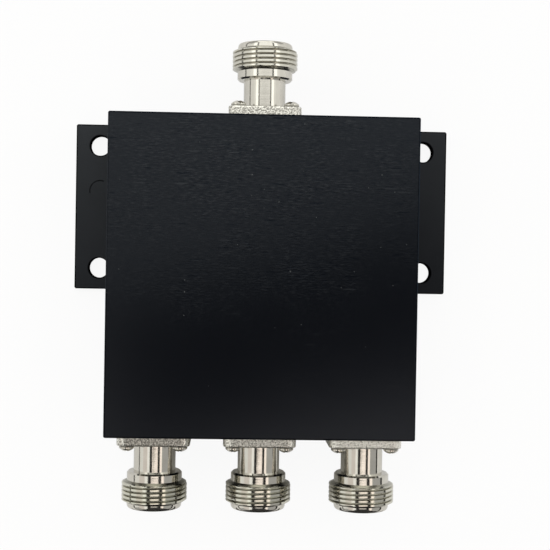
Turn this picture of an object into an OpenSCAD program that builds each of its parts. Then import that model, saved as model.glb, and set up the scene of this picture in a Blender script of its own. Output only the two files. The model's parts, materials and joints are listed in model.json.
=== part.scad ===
// RF power splitter with one input and three outputs, lying on its base plate.
// Millimetres. X is to the right, Y towards the input, Z up from the underside of the plate.

/* [Housing] */
// Distance from the axis of an outer port to the side of the housing
port_edge = 11.7; // [10.5:0.1:16]
// Length of the housing between the two port walls
housing_l = 77.3; // [66:0.1:100]
// Height of the housing above the base plate
housing_h = 19; // [18.5:0.5:26]
// Thickness of the two side walls
side_wall = 6; // [5.6:0.1:6.8]
// Thickness of the two walls that carry the connectors
port_wall = 6; // [5.6:0.1:9]
// Thickness of the closed face
top_wall = 2.5; // [1.5:0.1:3.2]
// Corner radius left in the pocket by the cutter
pocket_r = 3; // [1:0.25:5]
// Chamfer round the closed face
edge_break = 0.25; // [0.1:0.05:1]
// Radius of the four upright edges
upright_r = 0.5; // [0.3:0.1:2]

/* [Base plate] */
// Thickness of the base plate
plate_t = 3; // [2:0.25:4]
// Step of the plate edge inside the housing edge
plate_inset = 0.2; // [0:0.05:0.4]
// Reach of each ear beyond the side of the housing
ear_w = 9.7; // [9:0.1:16]
// Length of each ear
ear_l = 41.3; // [30:0.1:60]
// Distance from the input end of the housing to the ears
ear_setback = 1.2; // [0.5:0.1:6]
// Corner radius of the plate and of the ears
plate_r = 0.5; // [0.2:0.1:2]
// Diameter of the mounting holes
mount_hole_d = 5; // [3.2:0.1:5.5]
// Distance from a mounting hole to the outer edge of its ear
hole_side = 6; // [4:0.25:6]
// Distance from a mounting hole to the end of its ear
hole_end = 5.3; // [4:0.1:10]

/* [Ports] */
// Distance between neighbouring outputs
port_pitch = 25.4; // [24:0.1:32]

/* [Connector shell] */
// Side of the square flange
flange_w = 17.5; // [16.5:0.1:19]
// Thickness of the flange
flange_t = 2.1; // [1.5:0.1:3]
// Corner radius of the flange
flange_r = 2; // [0.5:0.25:3]
// Chamfer on the front edge of the flange
flange_chamfer = 0.4; // [0.1:0.05:0.8]
// Distance from a flange screw to the two nearest sides of the flange
flange_hole_edge = 2.4; // [2.2:0.1:3]
// Wall of the neck round the insulator
neck_wall = 1.1; // [0.8:0.05:1.4]
// Length of the neck in front of the flange
neck_l = 7; // [6:0.1:9]
// Length of the plain ring behind the thread
ring_l = 2.1; // [1:0.1:3]
// Chamfer at the back edge of that ring
ring_chamfer = 0.4; // [0.1:0.05:0.5]
// Outside diameter of the thread
thread_d = 15.88; // [15.4:0.02:16.4]
// Length of the thread with its two chamfers
thread_l = 5.5; // [5:0.1:9]
// Length of the chamfer at each end of the thread
thread_chamfer = 0.6; // [0.3:0.05:0.9]
// Depth of the ring and of the lip below the thread crest
thread_step = 1.24; // [0.9:0.02:1.5]
// Length of the lip in front of the thread
lip_l = 1.3; // [1:0.05:2.5]
// Bore of the socket
socket_d = 8.1; // [8.02:0.02:8.4]
// Depth of the socket down to the reference plane
socket_depth = 9.1; // [8.6:0.1:9.6]
// Chamfer at the mouth of the socket and outside the lip
mouth_chamfer = 0.45; // [0.1:0.05:0.7]
// Bore of the seat for the insulator
seat_d = 8; // [7.8:0.05:8.4]
// Width of the shoulder that holds the insulator back
shoulder_w = 0.5; // [0.3:0.05:0.8]
// Length of that shoulder
shoulder_l = 2; // [1:0.1:4]

/* [Insulator and contact] */
// Outside diameter of the contact in the socket
contact_d = 3.04; // [2.8:0.02:3.3]
// Reach of the contact in front of the reference plane
contact_reach = 5; // [4.4:0.1:5.4]
// Bore of the contact
contact_bore_d = 1.7; // [1.6:0.02:1.9]
// Depth of the bore of the contact
contact_bore_l = 4.6; // [3.5:0.1:6]
// Width of the spring slots
slot_w = 0.25; // [0.15:0.05:0.3]
// Depth of the spring slots
slot_l = 3.8; // [2:0.1:4.4]
// Depth of the wide part of the contact in the insulator
contact_seat = 5; // [3:0.1:7]
// Diameter of the stem in the insulator
stem_d = 2; // [1.6:0.05:2.4]
// Diameter of the solder tail
tail_d = 1.3; // [1:0.05:1.5]
// Length of the solder tail inside the housing
tail_l = 4.5; // [3:0.1:6]
// Height of the flat on the tail above the axis
tail_flat = 0.4; // [0.2:0.05:0.45]

/* [Screws] */
// Thread diameter of the flange and board screws
pan_screw_d = 2; // [1.8:0.05:2.2]
// Diameter of the pan heads
pan_d = 3.6; // [3.4:0.1:4.6]
// Height of the pan heads
pan_h = 1.4; // [1.1:0.05:1.6]
// Fall of the dome from its middle to the rim of a pan head
pan_dome = 0.8; // [0.3:0.05:0.9]
// Length of a flange screw under its head
flange_screw_l = 6; // [4.5:0.1:6.6]
// Length of a board screw under its head
board_screw_l = 5.5; // [4:0.1:5.8]
// Thread diameter of the cover screws
cover_screw_d = 2.5; // [2:0.05:2.6]
// Diameter of the countersunk heads
csk_d = 4.5; // [4:0.1:4.7]
// Depth of the countersunk heads below the underside of the plate
csk_sink = 0.1; // [0.05:0.05:0.3]
// Length of a cover screw with its head
cover_screw_l = 8; // [6:0.1:10]
// Distance from the end walls to the outer screws of a side wall
cover_end = 7; // [5:0.25:12]
// Length of the arms of the cross recess
recess_l = 2.2; // [1.6:0.1:2.6]
// Width of the arms of the cross recess
recess_w = 0.45; // [0.3:0.05:0.7]
// Depth of the cross recess
recess_h = 0.6; // [0.3:0.05:0.8]

/* [Circuit board] */
// Thickness of the board
board_t = 1.5; // [0.8:0.1:2]
// Thickness of the copper lines
copper_t = 0.1; // [0.05:0.01:0.2]
// Width of the lines at the ports
line_w = 3; // [2:0.1:4]
// Width of the narrow arms
arm_w = 1.2; // [0.8:0.05:1.4]
// Distance of the lines from the edge of the board
line_margin = 1; // [0.5:0.1:1.6]
// Length of the line from the input to the junction
input_run = 9; // [8.5:0.1:12]
// Length of the lines from the last resistors to the outputs
output_run = 10; // [9:0.1:13]
// Crossings in each folded section of an arm
folds = 6; // [4:2:6]
// Length of a resistor
resistor_l = 6.4; // [5:0.1:8]
// Width of a resistor
resistor_w = 3.2; // [2:0.1:4]
// Height of a resistor
resistor_h = 0.7; // [0.4:0.05:1]
// Length of a resistor end on its line
resistor_end = 1; // [0.6:0.1:1.5]
// Diameter of the posts that carry the board
post_d = 6; // [5:0.1:7]

/* [Clearances] */
// Gap round the board in the pocket
board_gap = 0.5; // [0.3:0.05:0.8]
// Gap between turned pieces that are pressed together
press_gap = 0.02; // [0.01:0.01:0.04]
// Gap between an insulator and its hole in the wall
wall_hole_gap = 0.1; // [0.05:0.05:0.3]
// Gap between a screw and its tapped hole
tap_gap = 0.03; // [0.02:0.01:0.06]
// Gap between a screw and the hole it passes through
pass_gap = 0.15; // [0.05:0.05:0.3]
// Room left at the bottom of a tapped hole
tap_room = 0.6; // [0.3:0.1:0.8]

/* [Hidden] */
$fn = 64;
over = 1;
housing_w = 2 * (port_pitch + port_edge);
total_h = plate_t + housing_h;
port_z = plate_t + housing_h / 2;
pocket_w = housing_w - 2 * side_wall;
pocket_l = housing_l - 2 * port_wall;
pocket_top = total_h - top_wall;
ear_span = housing_w + 2 * ear_w;
ear_y = housing_l / 2 - ear_setback - ear_l / 2;
hole_x = housing_w / 2 + ear_w - hole_side;
hole_y = ear_l / 2 - hole_end;
seat_r = seat_d / 2;
neck_r = seat_r + neck_wall;
thread_r = thread_d / 2;
ring_r = thread_r - thread_step;
neck_z = flange_t + neck_l;
thread_z = neck_z + ring_l;
lip_z = thread_z + thread_l;
reach = lip_z + lip_l;
plane_z = reach - socket_depth;
stop_z = plane_z - shoulder_l;
nose_r = seat_r - shoulder_w - press_gap;
tip_z = plane_z + contact_reach;
wide_z = plane_z - contact_seat;
tail_z = -port_wall - tail_l;
copper_z = port_z + tail_flat;
board_z = copper_z + copper_t;
post_z = board_z + board_t;
board_w = pocket_w - 2 * board_gap;
board_l = pocket_l - 2 * board_gap;
board_r = pocket_r - board_gap;
pan_tap_d = pan_screw_d + 2 * tap_gap;
pan_pass_d = pan_screw_d + 2 * pass_gap;
cover_tap_d = cover_screw_d + 2 * tap_gap;
cover_pass_d = cover_screw_d + 2 * pass_gap;
csk_h = (csk_d - cover_screw_d) / 2;
dome_r = (pan_d * pan_d / 4 + pan_dome * pan_dome) / (2 * pan_dome);
junction_y = board_l / 2 - input_run;
last_y = output_run - board_l / 2;
fold_l = (junction_y - last_y) / 2;
side_fold_w = 2 * (board_w / 2 - port_pitch - line_margin) - arm_w;
middle_fold_w = side_fold_w + port_pitch / folds;
post_x = port_pitch / 2;
post_ys = [junction_y + input_run / 2, junction_y - fold_l / 2, last_y + fold_l / 2, last_y - output_run / 2];
cover_side_x = housing_w / 2 - side_wall / 2;
cover_side_y = housing_l / 2 - cover_end;
cover_end_y = housing_l / 2 - port_wall / 2;
cover_points = [
    for (x = [-cover_side_x, cover_side_x], y = [-cover_side_y, 0, cover_side_y]) [x, y],
    for (x = [-post_x, post_x]) [x, -cover_end_y],
    for (x = [-port_pitch, port_pitch]) [x, cover_end_y]
];
flange_points = [for (x = [-1, 1], y = [-1, 1]) [x, y] * (flange_w / 2 - flange_hole_edge)];
ports = [[0, 180], [-port_pitch, 0], [0, 0], [port_pitch, 0]];

// Rectangle about the origin with rounded corners.
module rounded(w, l, r) {
    square([w - 2 * r, l], center = true);
    square([w, l - 2 * r], center = true);
    for (x = [-1, 1], y = [-1, 1])
        translate([x * (w / 2 - r), y * (l / 2 - r)])
            circle(r);
}

// Upright section of a block whose upper edges are chamfered.
module chamfered(w, h, c) {
    polygon([[-w / 2, 0], [w / 2, 0], [w / 2, h - c], [w / 2 - c, h], [c - w / 2, h], [-w / 2, h - c]]);
}

// Block with rounded upright edges and a chamfer round its upper face.
module broken_block(w, l, h, r, c) {
    intersection() {
        linear_extrude(h)
            rounded(w, l, r);
        translate([0, l, 0])
            rotate([90, 0, 0])
                linear_extrude(2 * l)
                    chamfered(w, h, c);
        translate([-w, 0, 0])
            rotate([90, 0, 90])
                linear_extrude(2 * w)
                    chamfered(l, h, c);
    }
}

// Places a connector piece, drawn upright from the outside of the wall, at its port.
// A port is its place along the wall and the turn to its end of the housing.
module at_port(p) {
    translate([p[0], 0, port_z])
        rotate(p[1])
            translate([0, -housing_l / 2, 0])
                rotate([90, 0, 0])
                    children();
}

// Cross recess cut down from the top of a head.
module recess() {
    for (a = [0, 90])
        rotate(a)
            translate([-recess_l / 2, -recess_w / 2, -recess_h])
                cube([recess_l, recess_w, recess_h + over]);
}

// Pan head screw, head up, with the underside of the head at zero.
module pan_screw(l) {
    difference() {
        intersection() {
            cylinder(d = pan_d, h = pan_h);
            translate([0, 0, pan_h - dome_r])
                sphere(dome_r);
        }
        translate([0, 0, pan_h])
            recess();
    }
    translate([0, 0, -l])
        cylinder(d = pan_screw_d, h = l + (pan_h - recess_h) / 2);
}

// Countersunk screw, head down, with the face of the head at zero.
module csk_screw() {
    difference() {
        union() {
            cylinder(d1 = csk_d, d2 = cover_screw_d, h = csk_h);
            cylinder(d = cover_screw_d, h = cover_screw_l);
        }
        rotate([180, 0, 0])
            recess();
    }
}

// Milled box, open below, with posts for the board.
module housing() {
    color("#24262a")
        difference() {
            union() {
                difference() {
                    translate([0, 0, plate_t])
                        broken_block(housing_w, housing_l, housing_h, upright_r, edge_break);
                    translate([0, 0, plate_t - over])
                        linear_extrude(housing_h - top_wall + over)
                            rounded(pocket_w, pocket_l, pocket_r);
                }
                for (x = [-post_x, post_x], y = post_ys)
                    translate([x, y, post_z])
                        cylinder(d = post_d, h = pocket_top + over - post_z);
            }
            for (x = [-post_x, post_x], y = post_ys)
                translate([x, y, board_z])
                    cylinder(d = pan_tap_d, h = board_screw_l + tap_room);
            for (p = cover_points)
                translate([p[0], p[1], 0])
                    cylinder(d = cover_tap_d, h = csk_sink + cover_screw_l + tap_room);
            for (p = ports)
                at_port(p) {
                    translate([0, 0, -port_wall - over])
                        cylinder(d = seat_d + 2 * wall_hole_gap, h = port_wall + 2 * over);
                    for (f = flange_points)
                        translate([f[0], f[1], flange_t - flange_screw_l - tap_room])
                            cylinder(d = pan_tap_d, h = flange_screw_l + tap_room);
                }
        }
}

// Plate with two ears, countersunk from below.
module base_plate() {
    color("#2b2d30")
        difference() {
            linear_extrude(plate_t)
                union() {
                    rounded(housing_w - 2 * plate_inset, housing_l - 2 * plate_inset, plate_r);
                    translate([0, ear_y])
                        rounded(ear_span, ear_l, plate_r);
                }
            for (x = [-1, 1], y = [-1, 1])
                translate([x * hole_x, ear_y + y * hole_y, -over])
                    cylinder(d = mount_hole_d, h = plate_t + 2 * over);
            for (p = cover_points)
                translate([p[0], p[1], csk_sink + csk_h]) {
                    mirror([0, 0, 1])
                        cylinder(d1 = cover_screw_d, d2 = csk_d + 2 * (csk_sink + over), h = csk_h + csk_sink + over);
                    translate([0, 0, -csk_h])
                        cylinder(d = cover_pass_d, h = plate_t + csk_h);
                }
        }
}

module cover_screws() {
    color("#3a3b3d")
        for (p = cover_points)
            translate([p[0], p[1], csk_sink])
                csk_screw();
}

// Board under the posts, lines facing the base plate.
module circuit_board() {
    color("#2f6b3f")
        difference() {
            translate([0, 0, board_z])
                linear_extrude(board_t)
                    rounded(board_w, board_l, board_r);
            for (x = [-post_x, post_x], y = post_ys)
                translate([x, y, board_z - over])
                    cylinder(d = pan_pass_d, h = board_t + 2 * over);
        }
}

// Straight piece of line between two points on one row or column.
module track(a, b, w) {
    translate([min(a[0], b[0]) - w / 2, min(a[1], b[1]) - w / 2])
        square([abs(a[0] - b[0]) + w, abs(a[1] - b[1]) + w]);
}

// Folded arm that goes down from its start.
module folded(x, y, w) {
    step = fold_l / folds;
    path = concat(
        [[x, y]],
        [for (i = [0:folds - 1], e = [0, 1]) [x + (i % 2 == 0 ? 1 : -1) * w / 2, y - (i + e) * step]],
        [[x, y - fold_l]]
    );
    for (i = [0:len(path) - 2])
        track(path[i], path[i + 1], arm_w);
}

// Line network: the outer arms have the run from the junction, the middle one is folded wider.
module copper_lines() {
    resistor_gap = resistor_l - 2 * resistor_end;
    color("#c98a54")
        translate([0, 0, copper_z])
            linear_extrude(copper_t)
                union() {
                    track([0, board_l / 2 - line_w / 2], [0, junction_y + line_w / 2], line_w);
                    track([0, junction_y + line_w / 2], [0, junction_y], arm_w);
                    track([-port_pitch, junction_y], [port_pitch, junction_y], arm_w);
                    for (x = [-port_pitch, 0, port_pitch]) {
                        folded(x, junction_y, x == 0 ? middle_fold_w : side_fold_w);
                        folded(x, junction_y - fold_l, side_fold_w);
                        track([x, last_y], [x, line_w / 2 - board_l / 2], arm_w);
                        track([x, last_y - line_w / 2], [x, line_w / 2 - board_l / 2], line_w);
                    }
                    for (y = [junction_y - fold_l, last_y], s = [-1, 1], e = [-1, 1])
                        track([s * (post_x + e * post_x), y],
                              [s * (post_x + e * (resistor_gap + arm_w) / 2), y], arm_w);
                }
}

module isolation_resistors() {
    color("#1c1c20")
        for (y = [junction_y - fold_l, last_y], s = [-1, 1])
            translate([s * post_x - resistor_l / 2, y - resistor_w / 2, copper_z - resistor_h])
                cube([resistor_l, resistor_w, resistor_h]);
}

module board_screws() {
    color("#b9b7b0")
        for (x = [-post_x, post_x], y = post_ys)
            translate([x, y, board_z])
                rotate([180, 0, 0])
                    pan_screw(board_screw_l);
}

// Turned and milled body of a connector, upright on its flange.
module shell() {
    color("#c3bfb6")
        difference() {
            union() {
                broken_block(flange_w, flange_w, flange_t, flange_r, flange_chamfer);
                rotate_extrude()
                    polygon([
                        [0, 0], [neck_r, 0], [neck_r, neck_z], [ring_r - ring_chamfer, neck_z],
                        [ring_r, neck_z + ring_chamfer], [ring_r, thread_z],
                        [thread_r, thread_z + thread_chamfer], [thread_r, lip_z - thread_chamfer],
                        [ring_r, lip_z], [ring_r, reach - mouth_chamfer], [ring_r - mouth_chamfer, reach], [0, reach]
                    ]);
            }
            translate([0, 0, -over])
                cylinder(d = seat_d, h = stop_z + over);
            cylinder(r = seat_r - shoulder_w, h = reach);
            translate([0, 0, plane_z])
                cylinder(d = socket_d, h = socket_depth + over);
            translate([0, 0, reach - mouth_chamfer])
                cylinder(r1 = socket_d / 2, r2 = socket_d / 2 + mouth_chamfer + over, h = mouth_chamfer + over);
            for (f = flange_points)
                translate([f[0], f[1], -over])
                    cylinder(d = pan_pass_d, h = flange_t + 2 * over);
        }
}

// Insulator, pressed in from behind, that goes through the wall of the housing.
module insulator() {
    wide_r = seat_r - press_gap;
    bore_r = contact_d / 2 + press_gap;
    stem_r = stem_d / 2 + press_gap;
    color("#f1efe8")
        rotate_extrude()
            polygon([
                [stem_r, -port_wall], [wide_r, -port_wall], [wide_r, stop_z], [nose_r, stop_z],
                [nose_r, plane_z], [bore_r, plane_z], [bore_r, wide_z], [stem_r, wide_z]
            ]);
}

// Slotted socket contact with a flat on the upper side of its tail for the line.
module contact() {
    color("#c9a24a")
        difference() {
            union() {
                translate([0, 0, wide_z])
                    cylinder(d = contact_d, h = tip_z - wide_z);
                translate([0, 0, -port_wall])
                    cylinder(d = stem_d, h = wide_z + port_wall);
                translate([0, 0, tail_z])
                    cylinder(d = tail_d, h = tail_l);
            }
            translate([0, 0, tip_z - contact_bore_l])
                cylinder(d = contact_bore_d, h = contact_bore_l + over);
            for (a = [0, 90])
                rotate(45 + a)
                    translate([-contact_d, -slot_w / 2, tip_z - slot_l])
                        cube([2 * contact_d, slot_w, slot_l + over]);
            translate([-tail_d, tail_flat, tail_z - over])
                cube([2 * tail_d, tail_d, tail_l + over]);
        }
}

module flange_screws() {
    color("#aaa69d")
        for (f = flange_points)
            translate([f[0], f[1], flange_t])
                pan_screw(flange_screw_l);
}

housing();
base_plate();
cover_screws();
circuit_board();
copper_lines();
isolation_resistors();
board_screws();
at_port(ports[0]) shell();  // input_shell
at_port(ports[0]) insulator();  // input_insulator
at_port(ports[0]) contact();  // input_contact
at_port(ports[0]) flange_screws();  // input_flange_screws
at_port(ports[1]) shell();  // left_output_shell
at_port(ports[1]) insulator();  // left_output_insulator
at_port(ports[1]) contact();  // left_output_contact
at_port(ports[1]) flange_screws();  // left_output_flange_screws
at_port(ports[2]) shell();  // middle_output_shell
at_port(ports[2]) insulator();  // middle_output_insulator
at_port(ports[2]) contact();  // middle_output_contact
at_port(ports[2]) flange_screws();  // middle_output_flange_screws
at_port(ports[3]) shell();  // right_output_shell
at_port(ports[3]) insulator();  // right_output_insulator
at_port(ports[3]) contact();  // right_output_contact
at_port(ports[3]) flange_screws();  // right_output_flange_screws
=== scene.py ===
# %% [markdown]
# An RF power splitter takes one radio signal in and shares it among three sockets. The metalwork
# comes from CAD and is already at its real size. This lesson dresses it: black coating with brush
# marks, nickel sockets with cut threads, screws, a white table, soft lamps and a camera.

# %% Load the CAD frame
import json
import math
import bmesh
import bpy
from mathutils import Matrix, Vector


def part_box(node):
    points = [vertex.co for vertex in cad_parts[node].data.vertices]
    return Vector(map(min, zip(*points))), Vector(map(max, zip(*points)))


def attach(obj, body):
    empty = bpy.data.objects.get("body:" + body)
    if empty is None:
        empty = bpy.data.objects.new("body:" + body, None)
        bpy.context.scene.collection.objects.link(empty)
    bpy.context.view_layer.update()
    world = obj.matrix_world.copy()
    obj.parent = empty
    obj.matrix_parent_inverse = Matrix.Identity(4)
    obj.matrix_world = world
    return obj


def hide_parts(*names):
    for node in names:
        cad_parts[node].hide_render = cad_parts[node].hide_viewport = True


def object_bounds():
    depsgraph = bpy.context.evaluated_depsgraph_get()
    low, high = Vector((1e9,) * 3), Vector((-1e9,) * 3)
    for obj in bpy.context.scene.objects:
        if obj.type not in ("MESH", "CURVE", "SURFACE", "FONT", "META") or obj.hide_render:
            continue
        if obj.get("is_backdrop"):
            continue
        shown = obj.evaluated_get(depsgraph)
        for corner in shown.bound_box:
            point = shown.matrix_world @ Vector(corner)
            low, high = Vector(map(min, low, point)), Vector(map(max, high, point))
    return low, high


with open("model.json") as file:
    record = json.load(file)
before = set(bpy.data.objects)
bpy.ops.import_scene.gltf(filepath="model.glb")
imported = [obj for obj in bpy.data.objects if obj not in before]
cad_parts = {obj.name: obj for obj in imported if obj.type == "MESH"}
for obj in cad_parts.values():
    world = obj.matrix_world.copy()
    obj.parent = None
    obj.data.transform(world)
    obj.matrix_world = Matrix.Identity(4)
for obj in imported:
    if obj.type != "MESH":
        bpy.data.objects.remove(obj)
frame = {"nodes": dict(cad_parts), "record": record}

cad_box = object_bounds()
nodes = frame["nodes"]
print("CAD nodes:", len(nodes))

# %% [markdown]
# Sizes are easier to think about in millimetres, while Blender works in metres here. One constant
# turns one into the other. The housing, the plate and the sockets are measured from the frame, so
# nothing has to be fitted by eye.

# %% Measure the main pieces
MM = 0.001
housing_low, housing_high = (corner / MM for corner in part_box("housing"))
plate_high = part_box("base_plate")[1] / MM
shell_low, shell_high = (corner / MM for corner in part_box("input_shell"))
port_wall_y = housing_high.y
port_height = (shell_low.z + shell_high.z) / 2
flange_width = shell_high.x - shell_low.x
reach = shell_high.y - port_wall_y
print("housing", housing_high - housing_low, "socket reach", round(reach, 2))

# %% [markdown]
# Every connector is drawn once, standing on its flange with Z along its axis, and is then placed
# at its port. The record knows where the four ports are, because each thread is one of its mounts.
# The turn puts the drawn Y upwards at both ends of the housing.

# %% Find the four ports
ports = {}
for mount in frame["record"]["mounts"]:
    if mount["name"].endswith("_thread"):
        side = mount["axis"][1]
        turn = Matrix.Rotation(math.pi if side > 0 else 0, 4, "Z") @ Matrix.Rotation(math.pi / 2, 4, "X")
        foot = Vector((mount["pos_m"][0], side * port_wall_y * MM, port_height * MM))
        ports[mount["name"].removesuffix("_thread")] = Matrix.Translation(foot) @ turn
        thread_radius = mount["dims"]["r_mm"]
port_pitch = ports["right_output"].translation.x / MM
print("ports:", sorted(ports), "pitch", round(port_pitch, 2))

# %% [markdown]
# A finish is a small network of shader nodes. Wiring nodes one by one is slow to read, so a socket
# is wrapped in a class that understands sums: writing a * b adds a Math node and links it.

# %% A socket that can be used in sums
class Wire:
    def __init__(self, network, socket):
        self.network = network
        self.socket = socket

    def work_out(self, operation, *values):
        return self.network.node("ShaderNodeMath", {"operation": operation}, dict(enumerate(values)))

    def __add__(self, other):
        return self.work_out("ADD", self, other)

    def __sub__(self, other):
        return self.work_out("SUBTRACT", self, other)

    def __rsub__(self, other):
        return self.work_out("SUBTRACT", other, self)

    def __mul__(self, other):
        return self.work_out("MULTIPLY", self, other)

    def __truediv__(self, other):
        return self.work_out("DIVIDE", self, other)

    def __pow__(self, other):
        return self.work_out("POWER", self, other)

    def __gt__(self, other):
        return self.work_out("GREATER_THAN", self, other)

    def __lt__(self, other):
        return self.work_out("LESS_THAN", self, other)

    def __abs__(self):
        return self.work_out("ABSOLUTE", self)

    def __round__(self):
        return self.work_out("ROUND", self)

    def larger(self, other):
        return self.work_out("MAXIMUM", self, other)

    def smaller(self, other):
        return self.work_out("MINIMUM", self, other)

    def limited(self):
        return self.larger(0.0).smaller(1.0)

    __radd__ = __add__
    __rmul__ = __mul__

# %% [markdown]
# Any other node comes from one method that takes its type, its settings and its socket values. The
# settings go first, because some of them change which sockets a node has. The same class will
# serve the sky later on, since a world has a node tree too.

# %% A network of nodes
class Network:
    def __init__(self, tree):
        self.tree = tree

    def node(self, kind, settings=None, sockets=None, out=0):
        made = self.tree.nodes.new(kind)
        for key, value in (settings or {}).items():
            if key == "stops":
                for stop, (position, grey) in zip(made.color_ramp.elements, value):
                    stop.position = position
                    stop.color = (grey, grey, grey, 1)
            else:
                setattr(made, key, value)
        for key, value in (sockets or {}).items():
            self.feed(made.inputs[key], value)
        return Wire(self, made.outputs[out])

    def feed(self, socket, value):
        if isinstance(value, Wire):
            self.tree.links.new(value.socket, socket)
        elif isinstance(value, tuple) and socket.type == "RGBA":
            socket.default_value = (*value, 1)
        else:
            socket.default_value = value

    def stretch(self, vector, factors):
        return self.node("ShaderNodeVectorMath", {"operation": "MULTIPLY"}, {0: vector, 1: factors})

    def axes(self, vector):
        return [self.node("ShaderNodeSeparateXYZ", None, {0: vector}, out=axis) for axis in "XYZ"]

    def noise(self, vector, scale, detail=2.0):
        values = {"Vector": vector, "Scale": scale, "Detail": detail}
        return self.node("ShaderNodeTexNoise", None, values)

    def lines(self, way, scale):
        values = {"W": way, "Scale": scale, "Detail": 2.0}
        return self.node("ShaderNodeTexNoise", {"noise_dimensions": "1D"}, values)

    def ramp(self, value, low, high):
        stops = [(low, 0.0), (high, 1.0)]
        return self.node("ShaderNodeValToRGB", {"stops": stops}, {"Fac": value})

    def mix(self, factor, first, second):
        return self.node("ShaderNodeMix", {"data_type": "RGBA"}, {0: factor, 6: first, 7: second}, out=2)

# %% [markdown]
# A finish owns one material and its Principled shader. Values that are the same all over the
# surface are set on the shader's own sockets. What varies is linked: colour, roughness and a bump.
# The place on the surface is read from object coordinates and turned into millimetres, so a grain
# of 0.2 can be written as the maker would say it.

# %% A finish
class Finish(Network):
    def __init__(self, name, **fixed):
        self.material = bpy.data.materials.new(name)
        self.material.use_nodes = True
        super().__init__(self.material.node_tree)
        self.shader = self.tree.nodes["Principled BSDF"]
        for socket, value in fixed.items():
            self.feed(self.shader.inputs[socket.replace("_", " ")], value)

    def place(self):
        spot = self.node("ShaderNodeTexCoord", out="Object")
        return self.stretch(spot, (1 / MM, 1 / MM, 1 / MM))

    def bump(self, height, depth):
        values = {"Height": height, "Strength": 1.0, "Distance": depth * MM}
        return self.node("ShaderNodeBump", None, values)

    def wear(self, **varying):
        for socket, value in varying.items():
            self.feed(self.shader.inputs[socket.replace("_", " ")], value)
        print("finish", self.material.name, "has", len(self.tree.nodes), "nodes")
        return self.material


def dress(name, material):
    nodes[name].data.materials.clear()
    nodes[name].data.materials.append(material)

# %% [markdown]
# The housing is aluminium that was brushed across before the black coat went on, so short strokes
# still show through it, most of all in the half towards the input where the belt pressed harder.
# A stroke is noise that is drawn out along X. It shows in the gloss, which is a little stronger or
# weaker from stroke to stroke, and as a faint bump.

# %% Brush strokes
STROKE_LENGTH = 1.3
STROKE_WIDTH = 0.32
STROKE_DETAIL = 1.5


def brush_strokes(coat, spot):
    drawn_out = coat.stretch(spot, (1 / STROKE_LENGTH, 1 / STROKE_WIDTH, 1 / STROKE_WIDTH))
    return coat.noise(drawn_out, 1.0, STROKE_DETAIL)

# %% [markdown]
# A few strokes bit deeper and stand alone as short dashes. Cells that are much longer than wide
# are spread over the lid, a share of them is picked by the random colour that each cell has, and a
# dash is the small oval in the middle of a picked cell. A second random number decides whether the
# dash caught the light or stayed dark.

# %% Single dashes
DASH_CELL = (10.0, 1.1)
DASH_SIZE = 0.14
DASH_SHARE = 0.4
DASH_SHORTEST = 0.4
DASH_EDGE = 3
DARK_SHARE = 0.6


def scattered_cells(coat, vector, scale):
    cells = {"Vector": vector, "Scale": scale}
    flat = {"voronoi_dimensions": "2D"}
    from_middle = coat.node("ShaderNodeTexVoronoi", flat, cells, out="Distance")
    return from_middle, coat.axes(coat.node("ShaderNodeTexVoronoi", flat, cells, out="Color"))


def single_dashes(coat, spot):
    drawn_out = coat.stretch(spot, (1 / DASH_CELL[0], 1 / DASH_CELL[1], 1))
    from_middle, (chance, light, extra) = scattered_cells(coat, drawn_out, 1.0)
    length = DASH_SIZE * (DASH_SHORTEST + extra)
    dash = ((1 - from_middle / length) * DASH_EDGE).limited() * (chance < DASH_SHARE)
    return dash * (light > DARK_SHARE), dash * (light < DARK_SHARE)

# %% [markdown]
# Grains of dust sank into the coat while it was wet. This is the same idea with square cells: only
# a few cells are picked, and the disc in the middle of each is tiny and pale.

# %% Dust in the coat
DUST_CELL = 3.1
DUST_SHARE = 0.14
DUST_RADIUS = 0.09
DUST_FAINTEST = 0.3


def dust_grains(coat, spot, strength):
    from_middle, (chance, pale, _) = scattered_cells(coat, spot, 1 / DUST_CELL)
    grain = from_middle < (DUST_RADIUS + chance) / DUST_CELL
    picked = chance < DUST_SHARE * strength
    return grain * picked * (DUST_FAINTEST + pale * (1 - DUST_FAINTEST))

# %% [markdown]
# How clearly the strokes show follows the pressure of the belt. It was highest in the middle, fades
# towards the outputs and a little at the input end, and comes and goes in patches. A slow cloud of
# noise is added to the place along Y, so that the fading has no straight border.

# %% Pressure of the belt
FADE_LENGTH = 90
FADE_MIDDLE = 0.58
FADE_EDGES = (0.3, 0.75)
FADE_UNEVEN = 0.9
LEAST_PRESSURE = 0.1
END_EDGES = (0.78, 0.92)
END_UNEVEN = 0.4
END_FADE = 0.2
PATCH_SCALE = 0.11
PATCH_EDGES = (0.42, 0.62)
BETWEEN_PATCHES = 0.4
MIDDLE_EDGES = (0.1, 0.6)
AT_THE_SIDES = 0.6
MIDDLE_GAIN = 0.5


def belt_pressure(coat, spot, cloud, x, y):
    uneven = cloud - 0.5
    along = coat.ramp(y / FADE_LENGTH + FADE_MIDDLE + uneven * FADE_UNEVEN, *FADE_EDGES)
    input_end = coat.ramp(y / housing_high.y + uneven * END_UNEVEN, *END_EDGES)
    pressure = (along * (1 - LEAST_PRESSURE) + LEAST_PRESSURE) * (1 - input_end * END_FADE)
    patch = coat.ramp(coat.noise(spot, PATCH_SCALE), *PATCH_EDGES)
    middle = coat.ramp(1 - abs(x) / housing_high.x, *MIDDLE_EDGES)
    in_patch = BETWEEN_PATCHES + patch * (1 - BETWEEN_PATCHES)
    return pressure * in_patch * (AT_THE_SIDES + middle * MIDDLE_GAIN)

# %% [markdown]
# Along the rim of the lid the coat is rubbed dull. Beside the ears the rim is sheltered and keeps
# some of its gloss, on the left more than on the right. The record knows where the ears are, because
# the pattern of their holes is one of its mounts.

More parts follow.
